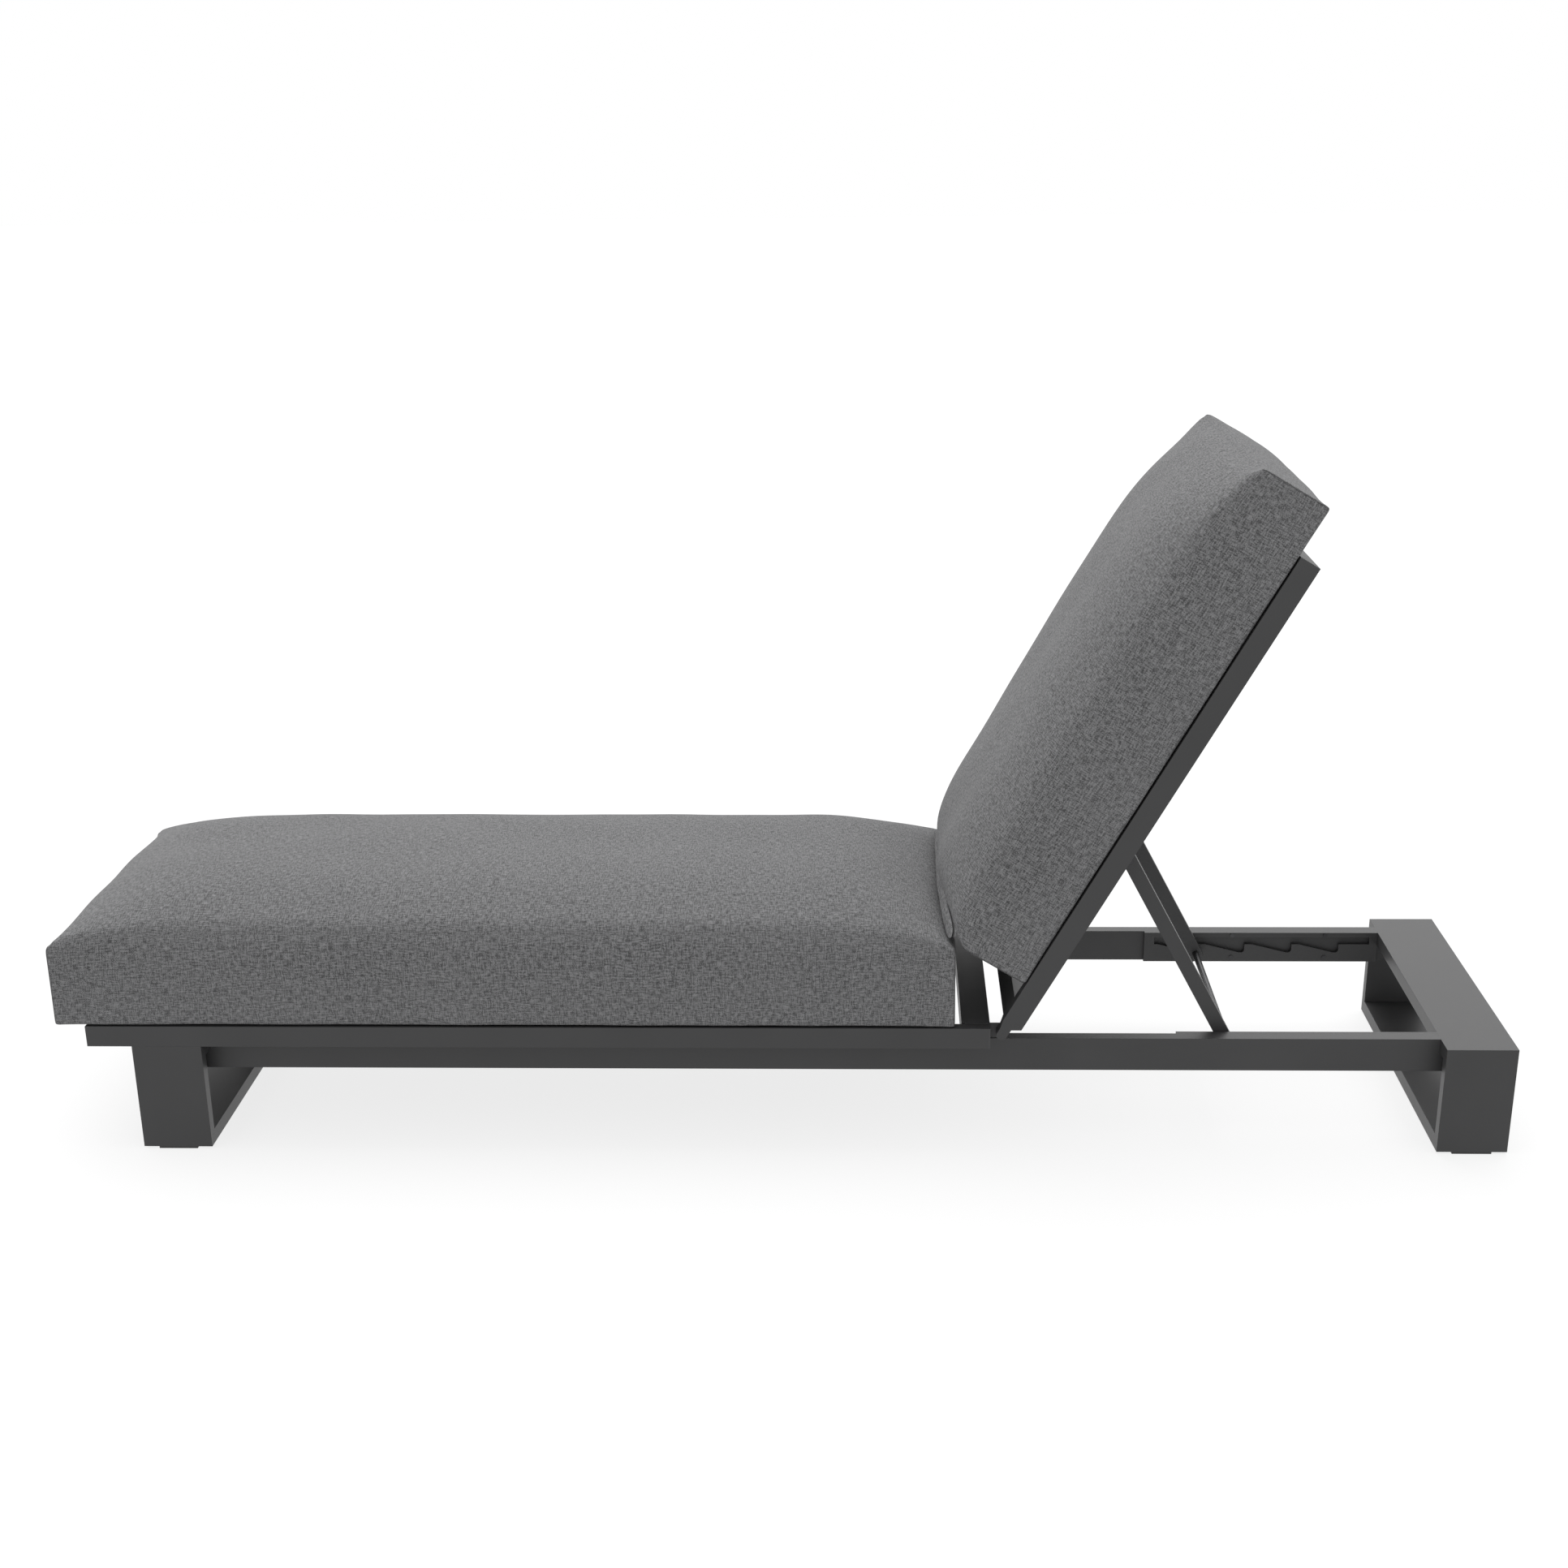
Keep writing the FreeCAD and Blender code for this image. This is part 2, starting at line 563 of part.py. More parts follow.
def prop_lugs():
    """Plates behind the backrest beside the prop's arms, and the bolts on which the arms turn."""
    radius = S["PropBolt"] / 2
    lug_outer = arm_inner - S["SideGap"]
    lug_inner = lug_outer - S["LugPlate"]
    for side_name, side in SIDES:
        span = side_span(side, lug_inner, lug_outer)
        half = S["LugWidth"] / 2
        nose = S["PropOvershoot"]
        along = S["PropAlong"]
        plate = [(along - half, back_rear), (along + half, back_rear), (along + nose, prop_across), (along - nose, prop_across)]
        lug = Piece(f"prop_lug_{side_name}")
        lug.pad("XZ_Plane", *span, plate)
        lug.pad("XZ_Plane", *span, rounds=[(along, prop_across, nose)])
        lug.cut("XZ_Plane", *span, rounds=[(along, prop_across, radius)])
        on_backrest(lug)
        bolt = Piece(f"prop_bolt_{side_name}")
        head = side_span(side, lug_inner - S["HeadThickness"], lug_inner)
        shank = side_span(side, lug_inner, arm_outer)
        bolt.pad("XZ_Plane", *shank, rounds=[(along, prop_across, radius)])
        bolt.pad("XZ_Plane", *head, rounds=[(along, prop_across, S["PropHead"] / 2)])
        on_backrest(bolt)


def prop():
    """Two arms joined by a rod that lies in the notches."""
    over = S["PropOvershoot"]
    half = S["PropTube"] / 2
    length = S["PropLength"]
    bolt_hole = (0, 0, S["PropBolt"] / 2 + S["FitGap"])
    rod_hole = (length, 0, rod_radius)
    for side_name, side in SIDES:
        edges = sorted((side_y(side, arm_inner), side_y(side, arm_outer)), key=lambda edge: edge.value)
        span = side_span(side, arm_inner, arm_outer)
        arm = Piece(f"prop_arm_{side_name}")
        arm.pad("YZ_Plane", -over, length + over, *hollow(*edges, -half, half, wall))
        arm.cut("XZ_Plane", *span, rounds=[bolt_hole, rod_hole])
        on_prop(arm)
    reach = plate_inner - S["RodEndGap"]
    rod = Piece("prop_rod").pad("XZ_Plane", -reach, reach, rounds=[(length, 0, rod_radius)])
    on_prop(rod)


def rounded(x_low, x_high, z_low, z_high):
    """A rectangle whose two upper corners are cut back in two facets each, from its lower right corner on."""
    far = S["CushionRound"]
    near = far / 3
    return [
        (x_high, z_low), (x_high, z_high - far), (x_high - near, z_high - near), (x_high - far, z_high),
        (x_low + far, z_high), (x_low + near, z_high - near), (x_low, z_high - far),
    ]


def cushions():
    """Plain closed solids for the two pads; the back one is bevelled where it slides over the hinge."""
    half = half_width - S["CushionInset"]
    low = deck_top + S["CushionGap"]
    end = deck_head - S["SeatCushionEnd"]
    foot = deck_foot - S["CushionOverhang"]
    seat = rounded(foot, end, low, low + S["CushionThickness"]) + [(foot, low)]
    Piece("seat_cushion").pad("XZ_Plane", -half, half, seat)
    start = S["BackCushionStart"]
    rear = back_front + S["CushionGap"]
    front = rear + S["BackCushionThickness"]
    heel = [(start, rear + S["HeelRise"]), (start + S["HeelLength"], rear)]
    back = rounded(start, start + S["BackCushionLength"], rear, front) + heel
    on_backrest(Piece("back_cushion").pad("XZ_Plane", -half, half, back))


def check():
    """Stop if any object failed to build or any node has no sound solid."""
    for item in doc.Objects:
        if "Invalid" in item.State or "Error" in item.State:
            raise RuntimeError(f"{item.Name}: {item.State}")
    for name, part in parts.items():
        shape = part.Shape
        if shape.isNull() or not shape.isValid() or not shape.Solids:
            raise RuntimeError(f"{name}: no valid solid")


def export():
    """Write one STEP file for each node."""
    os.makedirs("parts", exist_ok=True)
    for name, part in parts.items():
        part.Shape.exportStep(os.path.join("parts", f"{name}.step"))


def build():
    hoop("foot_hoop", foot_face)
    hoop("head_hoop", head_inner)
    glides()
    side_rails()
    deck()
    hinge_brackets()
    notched_plates()
    plate_rivets()
    backrest_tubes()
    backrest_cross_members()
    hinge_fasteners()
    prop_lugs()
    prop()
    cushions()
    doc.recompute()
    check()
    export()
    for name, part in parts.items():
        box = part.Shape.BoundBox
        print(
            f"{name:24s} solids {len(part.Shape.Solids):2d} volume {part.Shape.Volume:12.0f}"
            f" X {box.XMin:8.1f} {box.XMax:8.1f} Y {box.YMin:7.1f} {box.YMax:7.1f} Z {box.ZMin:6.1f} {box.ZMax:6.1f}"
        )


build()
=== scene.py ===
"""Reclining sun lounger: finishes for the metal frame, two padded cushions and a plain studio.

Everything is in metres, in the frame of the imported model: +X from foot to head, +Y from the sitter's left to
the right, +Z up, origin on the floor.
"""
import json
import math

import bpy
import numpy as np
from bpy.props import FloatProperty, FloatVectorProperty, PointerProperty
from bpy.types import Operator, Panel, PropertyGroup
from mathutils import Matrix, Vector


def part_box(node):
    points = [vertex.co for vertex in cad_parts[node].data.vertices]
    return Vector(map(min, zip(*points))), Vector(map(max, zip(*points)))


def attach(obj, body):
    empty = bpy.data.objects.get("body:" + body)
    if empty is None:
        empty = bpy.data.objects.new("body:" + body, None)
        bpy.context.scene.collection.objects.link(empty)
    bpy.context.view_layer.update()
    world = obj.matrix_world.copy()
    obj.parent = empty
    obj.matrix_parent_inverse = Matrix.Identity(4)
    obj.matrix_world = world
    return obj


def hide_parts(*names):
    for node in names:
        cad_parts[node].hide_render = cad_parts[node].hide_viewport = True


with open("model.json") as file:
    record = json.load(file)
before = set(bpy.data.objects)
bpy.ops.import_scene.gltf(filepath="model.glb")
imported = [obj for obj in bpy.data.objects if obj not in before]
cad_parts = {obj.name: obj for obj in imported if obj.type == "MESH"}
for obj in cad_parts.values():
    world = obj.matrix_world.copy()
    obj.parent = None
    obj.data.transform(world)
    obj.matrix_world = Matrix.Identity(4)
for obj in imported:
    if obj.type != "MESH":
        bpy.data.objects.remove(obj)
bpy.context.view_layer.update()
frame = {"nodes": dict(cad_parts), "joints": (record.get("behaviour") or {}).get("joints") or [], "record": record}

bl_info = {
    "name": "Sun lounger",
    "version": (1, 0, 0),
    "blender": (4, 5, 0),
    "location": "3D View > Sidebar > Lounger",
    "description": "Builds the cushions, finishes and studio of a reclining sun lounger",
    "category": "Object",
}

MM = 0.001
TOUCH = 1e-9
CORNER_EASE = 0.55
LEVELLING_ROUNDS = 40
# Width of the painted shade along the cushions' seams.
SEAM_SHADE_WIDTH = 2.6 * MM
SIDE_BULGE = 4 * MM
FLOOR_REACH = 30.0
ACROSS = np.array([0.0, 1.0, 0.0])


# --------------------------------------------------------------------------------------------------- sizes

class LoungerStudio(PropertyGroup):
    """Camera, lights and floor."""

    lens: FloatProperty(name="Lens", description="Focal length", default=55.7, min=10, unit="CAMERA")
    shift: FloatProperty(name="Shift", description="Vertical lens shift, in image widths", default=0.2764)
    pitch: FloatProperty(
        name="Pitch", description="Camera tilt below the horizon",
        default=math.radians(24.73), unit="ROTATION",
    )
    yaw: FloatProperty(
        name="Yaw", description="Camera turn about the vertical",
        default=math.radians(2.397), unit="ROTATION",
    )
    roll: FloatProperty(
        name="Roll", description="Camera turn about its own line of sight",
        default=math.radians(-0.685), unit="ROTATION",
    )
    place: FloatVectorProperty(
        name="Camera", description="Where the camera stands",
        default=(0.1377, -3.5198, 1.3785), unit="LENGTH",
    )
    sky: FloatProperty(name="Sky", description="Brightness of the surroundings", default=1.0, min=0)
    key: FloatProperty(name="Key", description="Strength of the softbox above and behind", default=2.5, min=0)
    key_spread: FloatProperty(
        name="Key spread", description="How wide the softbox looks",
        default=math.radians(70), unit="ROTATION",
    )
    key_back: FloatProperty(
        name="Key from behind", description="Tilt of the softbox's light towards the near side",
        default=math.radians(28), unit="ROTATION",
    )
    key_head: FloatProperty(
        name="Key from the foot", description="Tilt of the softbox's light towards the head",
        default=math.radians(8), unit="ROTATION",
    )
    floor_tone: FloatProperty(
        name="Floor", description="Reflectance of the floor",
        default=0.15, min=0, max=1,
    )
    floor_glow: FloatProperty(
        name="Floor glow", description="Strength of the floor's own light",
        default=0.80, min=0,
    )


class LoungerCoat(PropertyGroup):
    """Colours, grain and edges of the metal."""

    coat: FloatVectorProperty(
        name="Powder coat", description="Charcoal powder coat",
        default=(0.0225, 0.0225, 0.0232), subtype="COLOR",
    )
    grain: FloatProperty(
        name="Coat grain", description="Width of a bump in the powder coat",
        default=0.7 * MM, unit="LENGTH",
    )
    edge: FloatProperty(
        name="Edge radius", description="Rounding of the tubes' edges",
        default=0.9 * MM, unit="LENGTH",
    )
    steel: FloatVectorProperty(
        name="Steel", description="Blackened turned steel",
        default=(0.06, 0.06, 0.062), subtype="COLOR",
    )


class LoungerCushions(PropertyGroup):
    """Sizes and colours of the cushions."""

    step: FloatProperty(
        name="Grid", description="Spacing of the cushions' grid",
        default=10 * MM, min=3 * MM, unit="LENGTH",
    )
    round: FloatProperty(
        name="Upper edges", description="Radius of a cushion's edges on its outer face",
        default=26 * MM, unit="LENGTH",
    )
    heel: FloatProperty(
        name="Lower edges", description="Radius of a cushion's edges where it lies on the slats",
        default=9 * MM, unit="LENGTH",
    )
    seat_crown: FloatProperty(
        name="Seat crown", description="Rise of the seat cushion's middle above its corners",
        default=58 * MM, unit="LENGTH",
    )
    back_crown: FloatProperty(
        name="Back crown", description="Rise of the back cushion's middle above its corners",
        default=60 * MM, unit="LENGTH",
    )
    pressure: FloatProperty(name="Filling", description="Pressure of the filling", default=4.0, min=0)
    across: FloatProperty(
        name="Fullness across", description="How squarely a crown falls to its long edges",
        default=3.0, min=1,
    )
    edge: FloatProperty(
        name="Edge share", description="Part of a crown that its long edges share in",
        default=0.35, min=0, max=1,
    )
    bulge: FloatProperty(
        name="End bulge", description="Rise of a free end panel's middle above its corners",
        default=8 * MM, unit="LENGTH",
    )
    swell: FloatProperty(
        name="Swell share", description="Part of the simulated swelling that is kept",
        default=0.4, min=0, max=1,
    )
    limit: FloatProperty(
        name="Swell limit", description="Furthest a point may move as a cushion fills",
        default=22 * MM, unit="LENGTH",
    )
    seam: FloatProperty(
        name="Seam depth", description="Depth of the seams between end panels and sides",
        default=1.4 * MM, unit="LENGTH",
    )
    yarn: FloatProperty(
        name="Yarn", description="Distance between two yarns",
        default=1.5 * MM, unit="LENGTH",
    )
    cloth: FloatVectorProperty(
        name="Cloth", description="Heathered grey cloth",
        default=(0.109, 0.109, 0.111), subtype="COLOR",
    )


# ------------------------------------------------------------------------------------------------- shading

class Field:
    """One output socket of a finish. Arithmetic on it adds Math nodes to the same finish."""

    def __init__(self, finish, socket):
        self.finish = finish
        self.socket = socket

    def math(self, operation, *values):
        return self.finish.node("ShaderNodeMath", {"operation": operation}, dict(enumerate(values)))

    def __add__(self, other):
        return self.math("ADD", self, other)

    __radd__ = __add__

    def __rsub__(self, other):
        return self.math("SUBTRACT", other, self)

    def __mul__(self, other):
        return self.math("MULTIPLY", self, other)

    __rmul__ = __mul__

    def sine(self):
        return self.math("SINE", self)

    def between(self, low, high):
        """0 below low, 1 above high, straight between them."""
        return self.finish.node(
            "ShaderNodeMapRange", {"clamp": True}, {"Value": self, "From Min": low, "From Max": high}
        )


class Finish:
    """A material built round one Principled shader. Uniform values are set on the shader's own sockets."""

    def __init__(self, name, **uniform):
        self.material = bpy.data.materials.new(name)
        self.material.use_nodes = True
        self.tree = self.material.node_tree
        self.tree.nodes.clear()
        self.shader = self.tree.nodes.new("ShaderNodeBsdfPrincipled")
        self.output = self.tree.nodes.new("ShaderNodeOutputMaterial")
        self.tree.links.new(self.shader.outputs[0], self.output.inputs["Surface"])
        for socket, value in uniform.items():
            self.shader.inputs[socket.replace("_", " ")].default_value = value

    def node(self, kind, settings=None, sockets=None, outlet=0):
        """Adds a node: settings first, then a value or a link for each socket. Returns one of its outlets."""
        made = self.tree.nodes.new(kind)
        for key, value in (settings or {}).items():
            setattr(made, key, value)
        for key, value in (sockets or {}).items():
            if isinstance(value, Field):
                self.tree.links.new(value.socket, made.inputs[key])
            else:
                made.inputs[key].default_value = value
        return Field(self, made.outputs[outlet])

    def drive(self, socket, field):
        self.tree.links.new(field.socket, self.shader.inputs[socket])

    def place(self):
        return self.node("ShaderNodeTexCoord", outlet="Object")

    def stretched(self, place, scale):
        """A place with its three parts multiplied by scale."""
        return self.node("ShaderNodeVectorMath", {"operation": "MULTIPLY"}, {0: place, 1: scale})

    def noise(self, place, scale, detail=2.0, roughness=0.5):
        return self.node(
            "ShaderNodeTexNoise", {"noise_dimensions": "3D"},
            {"Vector": place, "Scale": scale, "Detail": detail, "Roughness": roughness},
        )

    def blend(self, factor, low, high):
        """The colour low where factor is 0 and high where it is 1."""
        settings = {"data_type": "RGBA", "clamp_factor": True}
        return self.node("ShaderNodeMix", settings, {0: factor, 6: low, 7: high}, outlet=2)

    def bump(self, height, distance, normal=None):
        sockets = {"Height": height, "Distance": distance}
        if normal is not None:
            sockets["Normal"] = normal
        return self.node("ShaderNodeBump", {}, sockets)


def shade(colour, factor):
    """A colour times a factor, with full opacity."""
    return (*(min(1.0, part * factor) for part in colour), 1.0)


def powder_coat(coat):
    """Matt charcoal powder coat: a fine orange-peel grain, faint mottling and paler edges, partly rubbed wear and
    partly a painted highlight.
    """
    finish = Finish("coated_metal", Roughness=0.42)
    place = finish.place()
    soft = finish.node("ShaderNodeBevel", {"samples": 4}, {"Radius": coat.edge})
    flat = finish.node("ShaderNodeNewGeometry", outlet="True Normal")
    facing = finish.node(
        "ShaderNodeVectorMath", {"operation": "DOT_PRODUCT"}, {0: soft, 1: flat}, outlet="Value"
    )
    # Paler edges: partly rubbed wear, partly a painted highlight along the rounded tube edges.
    wear_and_highlight = (1 - facing).between(0.02, 0.25)
    mottle = finish.noise(place, 9.0, 3.0)
    speck = finish.noise(place, 1 / (1.6 * coat.grain), 1.0)
    tone = finish.blend(mottle.between(0.3, 0.7), shade(coat.coat, 0.90), shade(coat.coat, 1.12))
    flecked = finish.blend(speck.between(0.62, 0.80) * 0.35, tone, shade(coat.coat, 2.0))
    # Lightens the colour towards the edges: wear plus painted highlight.
    finish.drive("Base Color", finish.blend(wear_and_highlight * 0.45, flecked, shade(coat.coat, 2.6)))
    finish.drive("Roughness", 0.38 + 0.08 * mottle + 0.06 * speck)
    finish.drive("Normal", finish.bump(finish.noise(place, 1 / coat.grain, 2.0), 0.05 * MM, soft))
    return finish.material


def moulded_plastic(name, colour, roughness):
    """Moulded plastic with a fine spark-eroded texture and faint flow marks."""
    finish = Finish(name)
    place = finish.place()
    flow = finish.noise(finish.stretched(place, (40.0, 140.0, 40.0)), 1.0, 3.0)
    grit = finish.noise(place, 1400.0, 1.0)
    finish.drive("Base Color", finish.blend(flow.between(0.3, 0.7), shade(colour, 0.85), shade(colour, 1.2)))
    finish.drive("Roughness", roughness + 0.12 * grit)
    finish.drive("Normal", finish.bump(grit, 0.04 * MM))
    return finish.material


def turned_steel(coat):
    """Blackened turned steel: a fine grain drawn out along the bolts and the rod, and faint stains."""
    finish = Finish("turned_steel", Metallic=1.0)
    place = finish.place()
    brushing = finish.noise(finish.stretched(place, (3000.0, 60.0, 3000.0)), 1.0, 2.0)
    stain = finish.noise(place, 60.0, 2.0)
    tone = finish.blend(stain.between(0.35, 0.75), shade(coat.steel, 0.85), shade(coat.steel, 1.15))
    finish.drive("Base Color", tone)
    finish.drive("Roughness", 0.26 + 0.16 * brushing)
    finish.drive("Normal", finish.bump(brushing, 0.01 * MM))
    return finish.material


def heathered_cloth(cushions):
    """Plain-woven cloth of mixed grey yarns.

    Warp and weft each have a tone that varies slowly along the yarn and quickly across it. The weave shows
    one or the other, by the sign of the product of two sines. Slubs are mixed in, pale and dark flecks and a
    faint cloudiness lie on top, and painted shade darkens the seams, standing in for the shade in their creases.
    """
    finish = Finish(
        "heathered_cloth", Roughness=0.95, Specular_IOR_Level=0.12, Sheen_Weight=0.06, Sheen_Roughness=0.5
    )
    cloth, yarn = cushions.cloth, cushions.yarn
    place = finish.node("ShaderNodeUVMap", {"uv_map": "Weave"})
    across, along = 1 / (1.2 * yarn), 1 / (7.0 * yarn)
    warp = finish.noise(finish.stretched(place, (along, across, 1.0)), 1.0, 2.0, 0.6)
    weft = finish.noise(finish.stretched(place, (across, along, 1.0)), 1.0, 2.0, 0.6)
    slub = finish.noise(finish.stretched(place, (across * 0.55, across * 0.55, 1.0)), 1.0, 2.0, 0.6)
    parts = finish.node("ShaderNodeSeparateXYZ", {}, {0: place})
    other = Field(finish, parts.socket.node.outputs[1])
    crossing = (parts * (math.pi / yarn)).sine() * (other * (math.pi / yarn)).sine()
    over = crossing.between(-0.35, 0.35)
    heather = warp * over + weft * (1 - over)
    cloudy = finish.noise(finish.stretched(place, (7.0, 7.0, 1.0)), 1.0, 2.0)
    tone = heather * 0.8 + slub * 0.2
    ground = finish.blend(tone.between(0.41, 0.59), shade(cloth, 0.45), shade(cloth, 1.65))
    pale = finish.blend(warp.between(0.64, 0.76) * 0.60, ground, shade(cloth, 2.3))
    dark = finish.blend(weft.between(0.66, 0.78) * 0.55, pale, shade(cloth, 0.38))
    soft = finish.blend(cloudy.between(0.25, 0.75) * 0.10, dark, shade(cloth, 1.9))
    # Painted shade: the cloth is darkened along the seams, standing in for the shade in their creases.
    seam = finish.node("ShaderNodeAttribute", {"attribute_name": "seam"}, outlet="Fac")
    finish.drive("Base Color", finish.blend(seam.between(0.35, 0.95) * 0.62, soft, shade(cloth, 0.12)))
    relief = crossing * 0.5 + heather * 0.9
    finish.drive("Normal", finish.bump(relief, 0.04 * MM))
    return finish.material


# ------------------------------------------------------------------------------------------------- surfaces

def stations(length, step, ends=(2.5 * MM, 6 * MM, 11 * MM)):
    """Places along a length: close together at both ends, then evenly spaced."""
    first = np.array([0.0, *ends])
    count = max(2, round((length - 2 * ends[-1]) / step))
    middle = np.linspace(ends[-1], length - ends[-1], count + 1)[1:-1]
    return np.concatenate([first, middle, length - first[::-1]])


def sheet_of_quads(index, flip):
    """The quads between neighbouring rows and columns of a grid of point numbers."""
    corners = [index[:-1, :-1], index[1:, :-1], index[1:, 1:], index[:-1, 1:]]
    quads = np.stack([corner.ravel() for corner in corners], axis=1)
    return quads[:, ::-1] if flip else quads


def eased(points, half, first, second, radius):
    """Points of a box with the edges between two of its directions rounded, each point with its own radius.

    Where both places lie within the radius of the box's limits, the square corner there is drawn in to a
    quarter disc: a point keeps its direction from the disc's middle, and its distance becomes the larger of
    its two parts.
    """
    pair = points[:, [first, second]]
    limit = half[[first, second]] - radius[:, None]
    inner = np.clip(pair, -limit, limit)
    away = pair - inner
    reach = np.linalg.norm(away, axis=1)
    corner = np.abs(away).min(axis=1) > TOUCH
    moved = inner + away * (np.abs(away).max(axis=1) / np.maximum(reach, TOUCH))[:, None]
    eased_points = points.copy()
    eased_points[:, [first, second]] = np.where(corner[:, None], moved, pair)
    return eased_points


def pad_surface(length, width, height, step, upper, lower):
    """A box pad's surface as a grid: points, quads, cloth coordinates and each point's place from -1 to 1.

    The box's surface is cut by planes across all three directions. Its long edges are rounded, and so are the
    edges where the outer and the lower face meet the ends. Both roundings grow tighter towards the corners.
    """
    cuts = [stations(length, step), stations(width, step), stations(height, step * 0.8)]
    shares = [2 * cut / cut[-1] - 1 for cut in cuts]
    counts = [len(cut) for cut in cuts]
    grid = np.stack(np.meshgrid(*shares, indexing="ij"), axis=-1)
    skin = (np.abs(grid) > 1 - TOUCH).any(axis=-1)
    index = np.full(counts, -1)
    index[skin] = np.arange(skin.sum())
    share = grid[skin]
    half = np.array([length, width, height]) / 2
    flat = half * share
    long_edge = np.where(share[:, 2] < 0, lower, upper) * (1 - CORNER_EASE * np.abs(share[:, 0]) ** 10)
    end_edge = np.where(share[:, 2] < 0, lower, upper) * (1 - CORNER_EASE * np.abs(share[:, 1]) ** 10)
    points = eased(eased(flat, half, 1, 2, long_edge), half, 0, 2, end_edge)
    faces = [
        (index[:, :, -1], False, (0, 1), 0.0), (index[:, :, 0], True, (0, 1), 3.0),
        (index[:, 0, :], False, (0, 2), 1.0), (index[:, -1, :], True, (0, 2), 5.0),
        (index[-1], False, (1, 2), 7.0), (index[0], True, (1, 2), 9.0),
    ]
    quads = [sheet_of_quads(numbers, flip) for numbers, flip, _, _ in faces]
    cloth = [flat[q][:, :, list(axes)] + (0.0, offset) for q, (_, _, axes, offset) in zip(quads, faces)]
    return points, np.concatenate(quads), np.concatenate(cloth), share


def mesh_piece(name, points, quads, cloth=None, smooth=True):
    """A mesh object from whole arrays, with its cloth coordinates as the UV map."""
    mesh = bpy.data.meshes.new(name)
    mesh.from_pydata(points.tolist(), [], quads.tolist())
    mesh.polygons.foreach_set("use_smooth", np.full(len(quads), smooth))
    if cloth is not None:
        layer = mesh.uv_layers.new(name="Weave")
        layer.uv.foreach_set("vector", cloth.astype(np.float32).ravel())
    mesh.update()
    piece = bpy.data.objects.new(name, mesh)
    bpy.context.scene.collection.objects.link(piece)
    return piece


def points_of(mesh):
    """A mesh's points as an array."""
    points = np.empty(len(mesh.vertices) * 3, np.float32)
    mesh.vertices.foreach_get("co", points)
    return points.reshape(-1, 3).astype(float)


def normals_of(piece):
    """A piece's point normals as an array."""
    normals = np.empty(len(piece.data.vertices) * 3, np.float32)
    piece.data.vertex_normals.foreach_get("vector", normals)
    return normals.reshape(-1, 3).astype(float)


def fill(piece, held, pressure, limit, frames=20):
    """Fills a cushion by a cloth simulation with pressure inside and no gravity.

    A held point stays where it lies. No point ends further than the limit from where it began.
    """
    scene = bpy.context.scene
    group = piece.vertex_groups.new(name="Held")
    group.add(np.flatnonzero(held).tolist(), 1.0, "REPLACE")
    modifier = piece.modifiers.new("Filling", "CLOTH")
    settings = modifier.settings
    settings.quality = 6
    settings.mass = 0.35
    settings.tension_stiffness = settings.compression_stiffness = 22
    settings.shear_stiffness = 9
    settings.bending_stiffness = 1.5
    settings.use_pressure = True
    settings.uniform_pressure_force = pressure
    settings.effector_weights.gravity = 0
    settings.vertex_group_mass = group.name
    modifier.point_cache.frame_start, modifier.point_cache.frame_end = 1, frames
    for number in range(1, frames + 1):
        scene.frame_set(number)
    filled = piece.evaluated_get(bpy.context.evaluated_depsgraph_get()).to_mesh()
    before, after = points_of(piece.data), points_of(filled)
    moved = after - before
    far = np.linalg.norm(moved, axis=1)[:, None]
    after = before + moved * limit * np.tanh(far / limit) / np.maximum(far, TOUCH)
    piece.modifiers.remove(modifier)
    piece.vertex_groups.remove(group)
    scene.frame_set(1)
    return after


def ripple(share, length, width, seed):
    """Soft unevenness of a stuffed cushion: a sum of eight long waves in random directions, about 1 high."""
    rng = np.random.default_rng(seed)
    place = share[:, :2] * np.array([length, width]) / 2
    total = np.zeros(len(share))
    for _ in range(8):
        angle, wave, phase = rng.uniform(0, math.tau), rng.uniform(0.09, 0.26), rng.uniform(0, math.tau)
        total += np.sin(place @ np.array([math.cos(angle), math.sin(angle)]) * math.tau / wave + phase)
    return total / 3.5


def spans(node, axes, origin):
    """Lowest and highest place of a CAD node along three axes from an origin."""
    along = (points_of(frame["nodes"][node].data) - origin) @ axes.T
    return along.min(axis=0), along.max(axis=0)


def stuffed(points, share, crown, across, edge, fullness, bulge, overrun):
    """A box pad's points with the rise and fall of its stuffing, before it is filled.

    The outer face rises by crown (e + (1 - e) (1 - |b|^m)) (1 - |a|^n), where e is the part of it that the
    long edges share in, and n differs towards each end. What lies under it, down to the pad's middle, rises
    by the share c of that. Each end panel stands out by its own bulge times (1 - |b|^3) (1 - c^2), the one at
    a = 1 also by the overrun, and the sides stand out a little in their middles. a, b and c run from -1 to 1
    along, across and through the pad.
    """
    a, b, c = share.T
    power = np.where(a < 0, *fullness)
    near_end, near_side = np.abs(a) ** 8, np.abs(b) ** 8
    shaped = points.copy()
    shaped[:, 0] += np.sign(a) * near_end * np.where(a < 0, *bulge) * (1 - np.abs(b) ** 3) * (1 - c ** 2)
    shaped[:, 0] += np.clip(a, 0, 1) ** 4 * overrun
    shaped[:, 1] += np.sign(b) * near_side * SIDE_BULGE * (1 - a ** 2) * (1 - c ** 2)
    rise = edge + (1 - edge) * (1 - np.abs(b) ** across)
    shaped[:, 2] += crown * rise * (1 - np.abs(a) ** power) * np.clip(c, 0, 1)
    return shaped


def levelled(values, quads, rounds):
    """Values at points, each averaged with its neighbours along the quads' edges, time after time."""
    pairs = np.concatenate([quads[:, [k, (k + 1) % 4]] for k in range(4)])
    first, second = np.concatenate([pairs, pairs[:, ::-1]]).T
    count = np.bincount(first, minlength=len(values))[:, None]
    for _ in range(rounds):
        total = np.stack([np.bincount(first, part[second], len(values)) for part in values.T], axis=1)
        values = 0.5 * values + 0.5 * total / count
    return values


